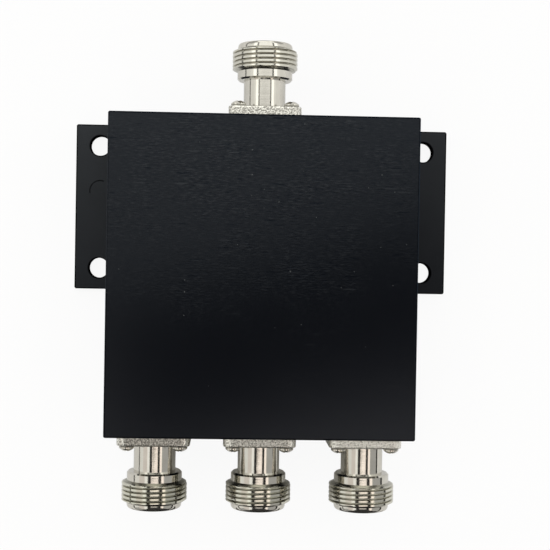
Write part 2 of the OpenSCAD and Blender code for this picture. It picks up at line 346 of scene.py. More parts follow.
# %% Rubbed rim of the lid
DULL_EDGE = 0.35
DULL_SPREAD = 0.3
EAR_HALF = 20.65
SHELTER = 0.32
SHELTER_LEAN = 0.55
ear_holes = next(mount for mount in frame["record"]["mounts"] if mount["name"] == "ear_holes")
ear_y = ear_holes["pos_m"][1] / MM
print("middle of the ears at", round(ear_y, 2))


def rubbed_rim(coat, x, y):
    to_side = housing_high.x - abs(x)
    to_edge = to_side.smaller(housing_high.y - abs(y))
    beside_ear = (abs(y - ear_y) < EAR_HALF) * (to_side < 2 * DULL_EDGE)
    shelter = beside_ear * (1 - x / housing_high.x * SHELTER_LEAN) * SHELTER
    whole = coat.ramp(to_edge, DULL_EDGE * (1 - DULL_SPREAD), DULL_EDGE * (1 + DULL_SPREAD))
    return (1 - whole) * (1 - shelter)

# %% [markdown]
# The coat itself is nearly black and takes its brightness from its gloss, part of it in the base
# and part in the shader's coat layer. Only the layer can vary, so the strokes and dashes are drawn
# in its weight. Black on aluminium has a blue cast, which is the tint of the base's reflection. The
# chamfer round the lid is dead black: a black metal reflects nothing, so that is where the shader's
# Metallic goes up.

# %% Black coat of the housing
COAT_DARK = (0.0012, 0.0015, 0.0031)
COAT_PALE = (0.0140, 0.0155, 0.0180)
DUST_COLOUR = (0.085, 0.09, 0.09)
BLUE_CAST = (0.65, 0.80, 1.0)
BASE_GLOSS = 0.22
COAT_IOR = 1.3
COAT_ROUGH = 0.235
COAT_CLOUD = 0.045
CLOUD_ROUGH = 0.05
TOP_SKIN = 0.1
LIGHT_EDGES = (0.54, 0.72)
DARK_EDGES = (0.28, 0.46)
MARK_GLOSS = 0.6
DARK_DASH_GLOSS = 1.2
LAYER = 0.62
LAYER_FALL = 0.0025
STROKE_DEPTH = 0.03


def black_coat():
    coat = Finish(
        "black_coat",
        Specular_IOR_Level=BASE_GLOSS,
        Specular_Tint=BLUE_CAST,
        Coat_IOR=COAT_IOR,
        Coat_Roughness=COAT_ROUGH,
    )
    spot = coat.place()
    x, y, z = coat.axes(spot)
    on_lid = z > housing_high.z - TOP_SKIN
    cloud = coat.noise(spot, COAT_CLOUD)
    pressure = belt_pressure(coat, spot, cloud, x, y) * on_lid
    stroke = brush_strokes(coat, spot)
    light_stroke = coat.ramp(stroke, *LIGHT_EDGES) * MARK_GLOSS
    dark_stroke = (1 - coat.ramp(stroke, *DARK_EDGES)) * MARK_GLOSS
    light_dash, dark_dash = single_dashes(coat, spot)
    # The strokes and dashes are real marks; their pale tone in the colour is a painted glint.
    tone = coat.mix(light_stroke.larger(light_dash) * pressure, COAT_DARK, COAT_PALE)
    dust = dust_grains(coat, spot, pressure) * on_lid
    marks = light_stroke - dark_stroke + light_dash * MARK_GLOSS - dark_dash * DARK_DASH_GLOSS
    # LAYER_FALL weakens the gloss towards the right: a painted sheen that is brighter on the left.
    layer = (LAYER + marks * pressure - x * LAYER_FALL).limited()
    rubbed = rubbed_rim(coat, x, y)
    return coat.wear(
        Base_Color=coat.mix(dust, tone, DUST_COLOUR),
        Roughness=COAT_ROUGH + (cloud - 0.5) * CLOUD_ROUGH,
        Metallic=rubbed * (z > housing_high.z - DULL_EDGE),
        Coat_Weight=layer * (1 - rubbed),
        Normal=coat.bump(stroke * pressure, STROKE_DEPTH),
    )


dress("housing", black_coat())

# %% [markdown]
# The base plate has the same coat on rolled sheet: smoother, more matt, with a fine grain. On the
# left ear a round thing once stood and left a dark arc, worn through in places. It is drawn from the
# distance to a centre and kept to the part that shows.

# %% Arc mark on the left ear
ARC_CENTRE = (-40.7, 20.8)
ARC_RADIUS = 2.6
ARC_LINE = 0.5
ARC_BOTTOM = -0.6
ARC_RIGHT = 0.9
ARC_FAINTEST = 0.4


def distance(first, second):
    return (first * first + second * second) ** 0.5


def arc_mark(across, along, height, wear):
    from_left = across - ARC_CENTRE[0]
    from_below = along - ARC_CENTRE[1]
    from_ring = abs(distance(from_left, from_below) - ARC_RADIUS)
    ring = (1 - from_ring / ARC_LINE * 2).larger(0.0) * (ARC_FAINTEST + wear)
    shown = (from_below > ARC_BOTTOM) * (from_left < ARC_RIGHT)
    return ring * shown * (height > plate_high.z - TOP_SKIN)

# %% [markdown]
# The ears are grey in uneven patches and are painted lighter on the left than on the right and
# towards the input: painted light, where the light falls more. The last fraction of a millimetre
# beside an edge or a hole stays black. The drilled walls are black coat painted darker still, as
# painted shade inside the hole: the base has no gloss of its own, and the glossy layer is left out.

# %% Black coat of the plate
PLATE_DARK = (0.0090, 0.0105, 0.0140)
PLATE_GREY = (0.0305, 0.0345, 0.0400)
WALL_BLACK = (0.0010, 0.0011, 0.0013)
DARK_RIM = 0.4
RIM_DEPTH = 0.25
WALL_NEAR = 0.1
SHEET_GRAIN = 4.0
SHEET_CLOUD = 0.12
ARC_WEAR = 1.6
EAR_GREY_LEVEL = 0.40
PAINTED_LIGHT_ALONG = 0.013
PAINTED_LIGHT_ACROSS = 0.0035
CLOUD_GREY = 0.35
GRAIN_GREY = 0.3
SHEET_LAYER = 0.7
SHEET_LAYER_ROUGH = 0.32
SHEET_ROUGH = 0.45
SHEET_CLOUD_ROUGH = 0.1
GRAIN_HEIGHT = 0.3
ARC_DEPTH = 0.03
hole_x = ear_holes["dims"]["spacing_x_mm"] / 2
hole_y = ear_holes["dims"]["spacing_y_mm"] / 2
ear_hole_radius = ear_holes["dims"]["hole_r_mm"]


def gaps_on_ear(across, along):
    from_middle = abs(along - ear_y)
    edge_gap = (plate_high.x - abs(across)).smaller(EAR_HALF - from_middle)
    hole_gap = distance(abs(across) - hole_x, from_middle - hole_y) - ear_hole_radius
    return edge_gap, hole_gap


def plate_coat():
    coat = Finish(
        "plate_coat",
        Specular_IOR_Level=0.0,
        Coat_IOR=COAT_IOR,
        Coat_Roughness=SHEET_LAYER_ROUGH,
    )
    spot = coat.place()
    x, y, z = coat.axes(spot)
    grain = coat.noise(spot, SHEET_GRAIN, 3.0)
    cloud = coat.noise(spot, SHEET_CLOUD, 3.0)
    # Painted light: the ears grow lighter towards the input and towards the left.
    grey_and_painted_light = EAR_GREY_LEVEL + (y - ear_y) * PAINTED_LIGHT_ALONG - x * PAINTED_LIGHT_ACROSS
    grey = grey_and_painted_light + (cloud - 0.5) * CLOUD_GREY + (grain - 0.5) * GRAIN_GREY
    tone = coat.mix(grey.limited(), PLATE_DARK, PLATE_GREY)
    edge_gap, hole_gap = gaps_on_ear(x, y)
    # The hole walls are painted shade.
    shaded_hole_wall = (hole_gap < WALL_NEAR) * (1 - (z > plate_high.z - TOP_SKIN))
    rim = 1 - coat.ramp(edge_gap.smaller(hole_gap), DARK_RIM / 3, DARK_RIM)
    rim = rim * (z > plate_high.z - RIM_DEPTH)
    arc = arc_mark(x, y, z, coat.noise(spot, ARC_WEAR))
    black = arc.larger(shaded_hole_wall).larger(rim).smaller(1.0)
    return coat.wear(
        Base_Color=coat.mix(black, tone, WALL_BLACK),
        Roughness=SHEET_ROUGH + (cloud - 0.5) * SHEET_CLOUD_ROUGH,
        Coat_Weight=(1 - black) * SHEET_LAYER,
        Normal=coat.bump(grain * GRAIN_HEIGHT - arc, ARC_DEPTH),
    )


dress("base_plate", plate_coat())

# %% [markdown]
# Real edges are never perfectly sharp. The CAD plate and housing keep their meshes, and two
# modifiers soften them: Weld joins the seams between faces and Bevel rounds each hard edge by a
# fraction of a millimetre, which catches a thin line of light.

# %% Soften the edges of the sheet and milled pieces
HOUSING_EDGE = 0.08
PLATE_EDGE = 0.15
SEAM = 0.0005
SHARP = math.radians(40)


def soften(name, width):
    piece = nodes[name]
    weld = piece.modifiers.new("weld", "WELD")
    weld.merge_threshold = SEAM * MM
    bevel = piece.modifiers.new("edge", "BEVEL")
    bevel.width = width * MM
    bevel.segments = 2
    bevel.limit_method = "ANGLE"
    bevel.angle_limit = SHARP
    bevel.harden_normals = True
    print(name, "edges rounded by", width, "mm")


soften("housing", HOUSING_EDGE)
soften("base_plate", PLATE_EDGE)

# %% [markdown]
# A socket shell is brass, turned and threaded on a lathe and plated with nickel. The neck and the
# rings are bright with fine tool marks, the thread keeps a little dark grease in its roots, which
# are painted darker as painted shade too, and the flange is rough from its casting. The distance
# from the axis and the height above the flange say which part of the shell a point belongs to.

# %% Lengths of the shell along its axis
FLANGE_T = 2.1
NECK_L = 7.0
RING_L = 2.1
LIP_L = 1.3
NECK_R = 5.1
THREAD_STEP = 1.24
THREAD_CHAMFER = 0.6
THREAD_PITCH = 25.4 / 24
THREAD_DEPTH = 0.55
neck_end = FLANGE_T + NECK_L
thread_start = neck_end + RING_L
thread_end = reach - LIP_L
ring_radius = thread_radius - THREAD_STEP
print("thread from", thread_start, "to", round(thread_end, 2), "pitch", round(THREAD_PITCH, 3))

# %% [markdown]
# Each socket was used in its own way. Grease sits in the roots of every thread, together with
# painted shade in the same roots, with a thin film of oil over the crests, most on the left output
# and least on the input. Dirt has filled the pits of the cast flanges, most on the left output and
# not at all on the right one. So the finish takes one number for dirt and one for grease and
# painted shade, and every socket gets a material of its own.

# %% Nickel plating
NICKEL_DARK = (0.55, 0.53, 0.475)
NICKEL_PALE = (0.68, 0.66, 0.61)
CAST_DARK = (0.17, 0.16, 0.14)
CAST_PALE = (0.95, 0.935, 0.865)
GREASE_AND_SHADE = (0.085, 0.078, 0.055)
OIL_FILM = (0.62, 0.64, 0.49)
FLANGE_SKIN = 0.02
FOOT_CLEAR = 0.1
ROOT_EDGES = (0.3, 1.1)
NICKEL_CLOUD = 0.4
CAST_GRAIN = 2.5
TOOL_STEP = 8.0
PIT_EDGES = (0.5, 0.7)
CLEAN_PITS = 0.65
DIRT_SPREADS = 0.2
DIRT_DARKENS = 0.25
DIRT_FILLS = 1.8
OIL_SHARE = 0.5
NICKEL_ROUGH = 0.085
NICKEL_CLOUD_ROUGH = 0.06
CAST_ROUGH = 0.2
THREAD_ROUGH = 0.02
ROOT_ROUGH = 0.12
CAST_HEIGHT = 1.6
TOOL_HEIGHT = 0.045
NICKEL_DEPTH = 0.13


def nickel_plate(name, dirt, grease_and_shade_amount):
    plate = Finish(name, Metallic=1.0)
    spot = plate.place()
    x, y, z = plate.axes(spot)
    radius = distance(x, y)
    on_flange = (z < FLANGE_T + FLANGE_SKIN) * (radius > NECK_R + FOOT_CLEAR)
    on_thread = (z > thread_start) * (z < thread_end)
    root = on_thread * plate.ramp((thread_radius - radius) / THREAD_DEPTH, *ROOT_EDGES)
    cloud = plate.noise(spot, NICKEL_CLOUD, 3.0)
    grain = plate.noise(spot, CAST_GRAIN, 3.0)
    tool_marks = plate.lines(z, TOOL_STEP)
    pits = plate.ramp(grain + dirt * DIRT_SPREADS, *PIT_EDGES)
    cast = plate.mix(pits * (CLEAN_PITS + dirt * DIRT_DARKENS), CAST_PALE, CAST_DARK)
    tone = plate.mix(on_flange, plate.mix(cloud, NICKEL_DARK, NICKEL_PALE), cast)
    tone = plate.mix(on_thread * (grease_and_shade_amount * OIL_SHARE), tone, OIL_FILM)
    # Grease and painted shade darken the thread roots.
    colour = plate.mix(root * grease_and_shade_amount * (0.5 + cloud), tone, GREASE_AND_SHADE)
    rough = NICKEL_ROUGH + (cloud - 0.5) * NICKEL_CLOUD_ROUGH
    rough = rough + on_flange * CAST_ROUGH + on_thread * THREAD_ROUGH + root * ROOT_ROUGH
    cast_height = on_flange * grain * (CAST_HEIGHT - dirt * DIRT_FILLS)
    height = cast_height + (1 - on_flange) * tool_marks * TOOL_HEIGHT
    return plate.wear(Base_Color=colour, Roughness=rough, Normal=plate.bump(height, NICKEL_DEPTH))


DIRT_GREASE_AND_SHADE = {
    "input": (0.53, 0.2),
    "left_output": (0.6, 0.6),
    "middle_output": (0.3, 0.45),
    "right_output": (0.0, 0.35),
}
nickel = {port: nickel_plate(port + "_nickel", *DIRT_GREASE_AND_SHADE[port]) for port in ports}

# %% [markdown]
# The shell is one closed surface of revolution, except for two things: its flange is a rounded
# square and its thread climbs. Both fit the same idea. Points are made at equal steps round the
# axis, each at its own height and radius, and a point that is asked for twice is shared. So rings
# of points join by themselves, and the thread can run out into a plain ring without a seam.

# %% A turned surface made of shared points
STEPS = 128


class Turned:
    def __init__(self):
        self.mesh = bmesh.new()
        self.points = {}

    def point(self, step, height, radius):
        key = (step % STEPS, round(height, 5), round(radius, 5))
        if key not in self.points:
            angle = 2 * math.pi * step / STEPS
            spot = (radius * math.cos(angle) * MM, radius * math.sin(angle) * MM, height * MM)
            self.points[key] = self.mesh.verts.new(spot)
        return self.points[key]

    def face(self, corners):
        distinct = list(dict.fromkeys(corners))
        if len(distinct) > 2:
            self.mesh.faces.new(distinct)

    def rows(self, profile):
        for (low, low_radius), (high, high_radius) in zip(profile, profile[1:]):
            for step in range(STEPS):
                corners = []
                for turn, height, radius in (
                    (step, low, low_radius),
                    (step + 1, low, low_radius),
                    (step + 1, high, high_radius),
                    (step, high, high_radius),
                ):
                    if callable(radius):
                        radius = radius(2 * math.pi * turn / STEPS)
                    corners.append(self.point(turn, height, radius))
                self.face(corners)

    def finished(self, name):
        bmesh.ops.recalc_face_normals(self.mesh, faces=self.mesh.faces)
        mesh = bpy.data.meshes.new(name)
        self.mesh.to_mesh(mesh)
        self.mesh.free()
        return mesh

# %% [markdown]
# The rounded square is written as a radius for each angle: along a side it is the half width over
# a cosine, and in a corner it is where the ray meets the corner's arc. Drawing it in by a little
# gives the rounded front edge of the flange.

# %% Outline of the flange
FLANGE_CORNER = 2.0


def flange_outline(inset):
    half = flange_width / 2 - inset
    corner = FLANGE_CORNER - inset
    middle = half - corner

    def radius(angle):
        turned = angle % (math.pi / 2)
        turned = min(turned, math.pi / 2 - turned)
        if half * math.tan(turned) <= middle:
            return half / math.cos(turned)
        spread = middle * (math.cos(turned) - math.sin(turned))
        return middle * (math.cos(turned) + math.sin(turned)) + math.sqrt(corner**2 - spread**2)

    return radius

# %% [markdown]
# The thread is a strip that climbs one pitch for each turn. Its section is a flat crest, two
# flanks and a narrow root. Where it reaches the chamfer at either end, the radius is limited to
# the chamfer's cone, and the height to the thread's own ends, so the strip dies away as a cut
# thread does.

# %% Climbing thread
SECTION_POINTS = 12
CREST_SHARE = 0.48
FLANK_SHARE = 0.21


def thread_height(share):
    rise = 0.5 + (CREST_SHARE / 2 + FLANK_SHARE / 2 - abs(share - 0.5)) / FLANK_SHARE
    rise = min(max(rise, 0.0), 1.0)
    return rise * rise * (3 - 2 * rise)


def thread_point(turned, step, index):
    share = index / SECTION_POINTS
    height = thread_start + THREAD_PITCH * (step / STEPS + share - 1)
    height = min(max(height, thread_start), thread_end)
    radius = thread_radius - THREAD_DEPTH * (1 - thread_height(share % 1))
    slope = THREAD_STEP / THREAD_CHAMFER
    end_gap = min(height - thread_start, thread_end - height)
    return turned.point(step, height, min(radius, ring_radius + slope * end_gap))


def climb(turned):
    turns = math.ceil((thread_end - thread_start) / THREAD_PITCH) + 1
    for step in range(turns * STEPS):
        for index in range(SECTION_POINTS):
            turned.face([
                thread_point(turned, step, index),
                thread_point(turned, step + 1, index),
                thread_point(turned, step + 1, index + 1),
                thread_point(turned, step, index + 1),
            ])

# %% [markdown]
# Now the profile of the shell is walked once round: out along the back of the flange, up the neck,
# over the ring, along the thread, round the lip and back down the socket to the seat of the
# insulator. Small arcs soften the flange, the foot of the neck and the front of the lip. An arc is a
# list of pairs: how much of the way is left, and how much of the drop has gone. An extra row close
# to an arc keeps the shading of the straight stretch beside it straight.

# %% The shell's surface
SOCKET_R = 4.05
SOCKET_DEPTH = 9.1
SEAT_R = 4.0
SHOULDER_R = 3.5
SHOULDER_L = 2.0
MOUTH_CHAMFER = 0.45
RING_CHAMFER = 0.4
EDGE_R = 0.35
FOOT_R = 0.3
LIP_ROUND = 1.1
KEEP_STRAIGHT = 0.15
ARC_STEPS = 4
LIP_STEPS = 8
plane = reach - SOCKET_DEPTH
stop = plane - SHOULDER_L


def quarter(steps):
    angles = [math.pi / 2 * step / steps for step in range(steps + 1)]
    return [(1 - math.sin(angle), 1 - math.cos(angle)) for angle in angles]


def shell_surface():
    turned = Turned()
    back = [
        (0.0, SEAT_R),
        (0.0, flange_outline(0.0)),
        (FLANGE_T - EDGE_R - KEEP_STRAIGHT, flange_outline(0.0)),
    ]
    bend = quarter(ARC_STEPS)
    edge = [(FLANGE_T - EDGE_R * left, flange_outline(EDGE_R * gone)) for left, gone in bend]
    foot = [(FLANGE_T + FOOT_R * gone, NECK_R + FOOT_R * left) for left, gone in bend]
    neck = [
        (FLANGE_T + FOOT_R + KEEP_STRAIGHT, NECK_R),
        (neck_end, NECK_R),
        (neck_end, ring_radius - RING_CHAMFER),
        (neck_end + RING_CHAMFER, ring_radius),
        (thread_start, ring_radius),
    ]
    bend = quarter(LIP_STEPS)
    front = [(reach - LIP_ROUND * left, ring_radius - MOUTH_CHAMFER * gone) for left, gone in bend]
    mouth = [
        (reach, SOCKET_R + MOUTH_CHAMFER),
        (reach - MOUTH_CHAMFER, SOCKET_R),
        (plane, SOCKET_R),
        (plane, SHOULDER_R),
        (stop, SHOULDER_R),
        (stop, SEAT_R),
        (0.0, SEAT_R),
    ]
    turned.rows(back + edge + foot + neck)
    climb(turned)
    turned.rows([(thread_end, ring_radius)] + front + mouth)
    return turned.finished("shell")

# %% [markdown]
# Four screws hold each flange, so it needs four holes. Drilling is a Boolean modifier: the shell is
# lent to a helper object, four pins are taken away from it, and the result is kept as a new mesh.
# Hard corners are then marked sharp, so that smooth shading does not run over them.

# %% Drill the flange
HOLE_EDGE = 2.4
HOLE_R = 1.15
HOLE_SIDES = 32
hole_reach = flange_width / 2 - HOLE_EDGE


def drilled(mesh):
    pins = bmesh.new()
    for x in (-hole_reach, hole_reach):
        for y in (-hole_reach, hole_reach):
            middle = Matrix.Translation(Vector((x, y, FLANGE_T / 2)) * MM)
            size = {"radius1": HOLE_R * MM, "radius2": HOLE_R * MM, "depth": 2 * FLANGE_T * MM}
            bmesh.ops.create_cone(pins, cap_ends=True, segments=HOLE_SIDES, matrix=middle, **size)
    pin_mesh = bpy.data.meshes.new("pins")
    pins.to_mesh(pin_mesh)
    pins.free()
    blank = bpy.data.objects.new("blank", mesh)
    tool = bpy.data.objects.new("drill", pin_mesh)
    for helper in (blank, tool):
        bpy.context.collection.objects.link(helper)
    cut = blank.modifiers.new("holes", "BOOLEAN")
    cut.object = tool
    cut.solver = "EXACT"
    depsgraph = bpy.context.evaluated_depsgraph_get()
    result = bpy.data.meshes.new_from_object(blank.evaluated_get(depsgraph))
    for helper in (blank, tool):
        bpy.data.objects.remove(helper)
    result.shade_smooth()
    result.set_sharp_from_angle(angle=SHARP)
    print("shell faces:", len(mesh.polygons), "drilled:", len(result.polygons))
    return result


bare_shell = drilled(shell_surface())

# %% [markdown]
# The shells go on their ports. A thread starts wherever the lathe began it, so the outputs are
# turned by a quarter, which moves their thread by a quarter of its pitch and nothing else.

# %% Put a shell on each port
for port, place in ports.items():
    start = 0 if port == "input" else math.pi / 2
    shell = bare_shell.copy()
    shell.materials.append(nickel[port])
    piece = bpy.data.objects.new(port + "_body", shell)
    bpy.context.collection.objects.link(piece)
    piece.matrix_world = place @ Matrix.Rotation(start, 4, "Z")
    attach(piece, "root")
    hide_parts(port + "_shell")
    print(piece.name, "starts its thread at", round(math.degrees(start)), "degrees")

# %% [markdown]
# The small turned pieces keep their CAD shape and only need finishes. These are drawn in the frame
# of the whole part, so the distance from the nearest port axis is worked out first: the place along
# the wall is folded by the port pitch.

# %% Distances from the nearest port axis
def from_port(finish, spot):
    x, y, z = finish.axes(spot)
    sideways = x - round(x / port_pitch) * port_pitch
    return sideways, z - port_height, abs(y) - port_wall_y

# %% [markdown]
# The insulator is white fluoropolymer with the rings of a lathe tool on its front. The contact is
# gold plated; its springs are polished by the pins that have been in it.

# %% Insulators and contacts
POLYMER_GREY = (0.80, 0.79, 0.75)
POLYMER_WHITE = (0.92, 0.91, 0.88)
RING_STEP = 7.0
RING_DEPTH = 0.02
GOLD_DARK = (0.72, 0.50, 0.19)
GOLD_PALE = (0.84, 0.62, 0.27)
GOLD_POLISHED = (0.93, 0.74, 0.38)
GOLD_STEP = 9.0
GOLD_DEPTH = 0.008
SPRING_EDGES = (0.68, 0.77)


def turned_polymer():
    polymer = Finish("turned_polymer", Specular_IOR_Level=0.35)
    spot = polymer.place()
    sideways, upwards, _ = from_port(polymer, spot)
    rings = polymer.lines(distance(sideways, upwards), RING_STEP)
    cloud = polymer.noise(spot, 0.9, 3.0)
    return polymer.wear(
        Base_Color=polymer.mix(cloud * 0.7 + rings * 0.3, POLYMER_GREY, POLYMER_WHITE),
        Roughness=0.4 + rings * 0.15,
        Normal=polymer.bump(rings, RING_DEPTH),
    )


def gold_plate():
    gold = Finish("gold_plate", Metallic=1.0)
    spot = gold.place()
    outwards = from_port(gold, spot)[2]
    tool_marks = gold.lines(outwards, GOLD_STEP)
    cloud = gold.noise(spot, 1.6, 3.0)
    polished = gold.ramp(outwards / reach, *SPRING_EDGES)
    plated = gold.mix(cloud, GOLD_DARK, GOLD_PALE)
    return gold.wear(
        Base_Color=gold.mix(polished * 0.5, plated, GOLD_POLISHED),
        Roughness=0.3 + (cloud - 0.5) * 0.12 - polished * 0.12,
        Normal=gold.bump(tool_marks, GOLD_DEPTH),
    )

# %% [markdown]
# The flange screws are plated steel with a domed head. The head is stamped, so it shows faint rings
# about its own axis, and dirt has stayed in the cross. The corner under the head is painted darker
# as painted shade. The cover screws below are blackened, and the driver has rubbed their crosses to
# brown. The board screws inside are plain.

# %% Screws
HEAD_DARK = (0.54, 0.52, 0.465)
HEAD_PALE = (0.68, 0.66, 0.605)
CROSS_R = 1.15
CROSS_FLOOR = 0.95
SHADE_UNDER_HEAD = (0.15, 0.45)
HEAD_RINGS = 6.0
HEAD_DEPTH = 0.008
BLACKENED_DARK = (0.014, 0.014, 0.016)
BLACKENED_PALE = (0.045, 0.044, 0.046)
RUBBED_BROWN = (0.12, 0.09, 0.065)
RUBBED_EDGES = (0.15, 0.4)
STEEL_DARK = (0.50, 0.48, 0.44)
STEEL_PALE = (0.70, 0.68, 0.63)
STEEL_DEPTH = 0.02


def screw_steel():
    steel = Finish("screw_steel", Metallic=1.0)
    spot = steel.place()
    sideways, upwards, outwards = from_port(steel, spot)
    radius = distance(abs(sideways) - hole_reach, abs(upwards) - hole_reach)
    cloud = steel.noise(spot, 2.4, 3.0)
    rings = steel.lines(radius, HEAD_RINGS)
    plated = steel.mix(cloud * 0.6 + rings * 0.4, HEAD_DARK, HEAD_PALE)
    cross = (radius < CROSS_R) * (outwards < FLANGE_T + CROSS_FLOOR)
    # Painted shade darkens the corner under the head; dirt below joins it with the dirt in the cross.
    corner = 1 - steel.ramp(outwards - FLANGE_T, *SHADE_UNDER_HEAD)
    dirt = (cross * (0.4 + cloud * 0.6)).larger(corner * 0.8)
    return steel.wear(
        Base_Color=steel.mix(dirt, plated, GREASE_AND_SHADE),
        Roughness=0.10 + (cloud - 0.5) * 0.08 + dirt * 0.25,
        Normal=steel.bump(rings + cloud, HEAD_DEPTH),
    )


def black_steel():
    steel = Finish("black_steel", Metallic=0.6)
    spot = steel.place()
    cloud = steel.noise(spot, 1.7, 4.0)
    cross = steel.ramp(steel.axes(spot)[2], *RUBBED_EDGES)
    blackened = steel.mix(cloud, BLACKENED_DARK, BLACKENED_PALE)
    return steel.wear(
        Base_Color=steel.mix(cross * cloud, blackened, RUBBED_BROWN),
        Roughness=0.32 + cloud * 0.2,
        Normal=steel.bump(cloud, STEEL_DEPTH),
    )


def plain_steel():
    steel = Finish("plain_steel", Metallic=1.0)
    cloud = steel.noise(steel.place(), 1.8, 4.0)
    return steel.wear(
        Base_Color=steel.mix(cloud, STEEL_DARK, STEEL_PALE),
        Roughness=0.2 + cloud * 0.15,
        Normal=steel.bump(cloud, STEEL_DEPTH),
    )

# %% [markdown]
# Inside, the board is glass cloth in green resin, so a weave of crossing threads shows faintly. The
# copper is etched foil with brown oxide, and each chip resistor has a dark glazed middle between
# two tinned ends.

# %% Board, lines and resistors
RESIN_DARK = (0.020, 0.105, 0.040)
RESIN_PALE = (0.040, 0.180, 0.075)
WEAVE_SCALE = 0.5
WEAVE_DEPTH = 0.02
COPPER_DARK = (0.72, 0.36, 0.20)
COPPER_PALE = (0.84, 0.47, 0.28)
OXIDE = (0.42, 0.20, 0.12)
OXIDE_EDGES = (0.5, 0.7)
FOIL_DEPTH = 0.01
GLAZE_DARK = (0.010, 0.010, 0.013)
GLAZE_PALE = (0.028, 0.028, 0.032)
TIN = (0.62, 0.61, 0.58)
RESISTOR_HALF = 3.2
RESISTOR_END = 1.0
GLAZE_DEPTH = 0.02


def woven_board():
    board = Finish("woven_board", Specular_IOR_Level=0.4)
    spot = board.place()
    bands = {"Vector": spot, "Scale": WEAVE_SCALE, "Distortion": 0.6, "Detail": 1.0}
    across = board.node("ShaderNodeTexWave", {"bands_direction": "X"}, bands, out="Fac")
    along = board.node("ShaderNodeTexWave", {"bands_direction": "Y"}, bands, out="Fac")
    cloud = board.noise(spot, 0.3, 3.0)
    weave = across * along
    return board.wear(
        Base_Color=board.mix(weave * 0.5 + cloud * 0.5, RESIN_DARK, RESIN_PALE),
        Roughness=0.35 + weave * 0.15,
        Normal=board.bump(weave, WEAVE_DEPTH),
    )


def etched_copper():
    copper = Finish("etched_copper", Metallic=1.0)
    spot = copper.place()
    oxide = copper.ramp(copper.noise(spot, 0.5, 4.0), *OXIDE_EDGES)
    grain = copper.noise(spot, 5.0)
    foil = copper.mix(grain, COPPER_DARK, COPPER_PALE)
    return copper.wear(
        Base_Color=copper.mix(oxide * 0.5, foil, OXIDE),
        Roughness=0.26 + oxide * 0.2,
        Normal=copper.bump(grain, FOIL_DEPTH),
    )


def chip_resistor():
    chip = Finish("chip_resistor", Specular_IOR_Level=0.5)
    spot = chip.place()
    from_middle = abs(abs(chip.axes(spot)[0]) - port_pitch / 2)
    tinned = from_middle > RESISTOR_HALF - RESISTOR_END
    cloud = chip.noise(spot, 1.5, 3.0)
    glaze = chip.mix(cloud, GLAZE_DARK, GLAZE_PALE)
    return chip.wear(
        Base_Color=chip.mix(tinned, glaze, TIN),
        Metallic=tinned,
        Roughness=0.3 + cloud * 0.2,
        Normal=chip.bump(cloud, GLAZE_DEPTH),
    )

# %% [markdown]
# The record names a material slot for every CAD piece, so the finishes are handed out by slot. The
# board screws share a slot with the flange screws, whose rings and dirt would lie in the wrong place
# on them, so they get the plain steel afterwards.

# %% Give each node its finish
by_slot = {
    "ptfe": turned_polymer(),
    "gold": gold_plate(),
    "plain_steel": screw_steel(),
    "black_steel": black_steel(),
    "board": woven_board(),
    "copper": etched_copper(),
    "resistor": chip_resistor(),
}
for part in frame["record"]["subparts"]:
    if part["material_slot"] in by_slot:
        dress(part["node"], by_slot[part["material_slot"]])
dress("board_screws", plain_steel())
print("finishes handed out by slot:", sorted(by_slot))

# %% [markdown]
# The table is a white sheet. Seen by the camera it glows almost white by itself, and the rest of
# its brightness comes from the lamps, so a faint shadow stays. In a reflection the glow has a
# smaller share, because close to the part bright metal shows how dark that shadow really is.

# %% White table
TABLE_HALF = 3.0
GLOW_SHARE = 0.92
REFLECTED_SHARE = 0.35


def flat_sheet(name, centre, size, turn, material):
    mesh = bpy.data.meshes.new(name)
    x, y = size[0] / 2, size[1] / 2
    mesh.from_pydata([(-x, -y, 0), (x, -y, 0), (x, y, 0), (-x, y, 0)], [], [(0, 1, 2, 3)])
    mesh.materials.append(material)
    sheet = bpy.data.objects.new(name, mesh)
    sheet.matrix_world = Matrix.Translation(centre) @ turn
    bpy.context.collection.objects.link(sheet)
    sheet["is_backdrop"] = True
    return sheet


def white_sheet():
    sheet = Finish("white_sheet", Base_Color=(0.97, 0.97, 0.97), Roughness=0.9)
    rays = "ShaderNodeLightPath"
    glossy = sheet.node(rays, out="Is Glossy Ray")
    reflected = glossy.larger(sheet.node(rays, out="Is Transmission Ray"))
    seen = sheet.node(rays, out="Is Camera Ray")
    share = (seen * GLOW_SHARE).larger(reflected * REFLECTED_SHARE)
    glow = sheet.node("ShaderNodeEmission", None, {"Strength": 1.0})
    lit = Wire(sheet, sheet.shader.outputs[0])
    both = sheet.node("ShaderNodeMixShader", None, {0: share, 1: lit, 2: glow})
    sheet.feed(sheet.tree.nodes["Material Output"].inputs["Surface"], both)
    return sheet.material


table = flat_sheet("table", Vector(), (2 * TABLE_HALF, 2 * TABLE_HALF), Matrix(), white_sheet())
print("table", table.dimensions)

# %% [markdown]
# The light is a plain tent. An even sky gives the fill. It shows to the camera as plain white, so
# that nothing but the table is ever behind the part.

# %% Sky
SKY = 0.5
SKY_COLOUR = (1.0, 0.99, 0.965)
WHITE = (1.0, 1.0, 1.0)
world = bpy.data.worlds.new("sky")
bpy.context.scene.world = world
world.use_nodes = True
sky = Network(world.node_tree)
fill = sky.node("ShaderNodeBackground", None, {"Color": SKY_COLOUR, "Strength": SKY})
white = sky.node("ShaderNodeBackground", None, {"Color": WHITE, "Strength": 1.0})
by_camera = sky.node("ShaderNodeLightPath", out="Is Camera Ray")
both = sky.node("ShaderNodeMixShader", None, {0: by_camera, 1: fill, 2: white})
sky.feed(sky.tree.nodes["World Output"].inputs["Surface"], both)
print("sky of", SKY, "with", len(sky.tree.nodes), "nodes")

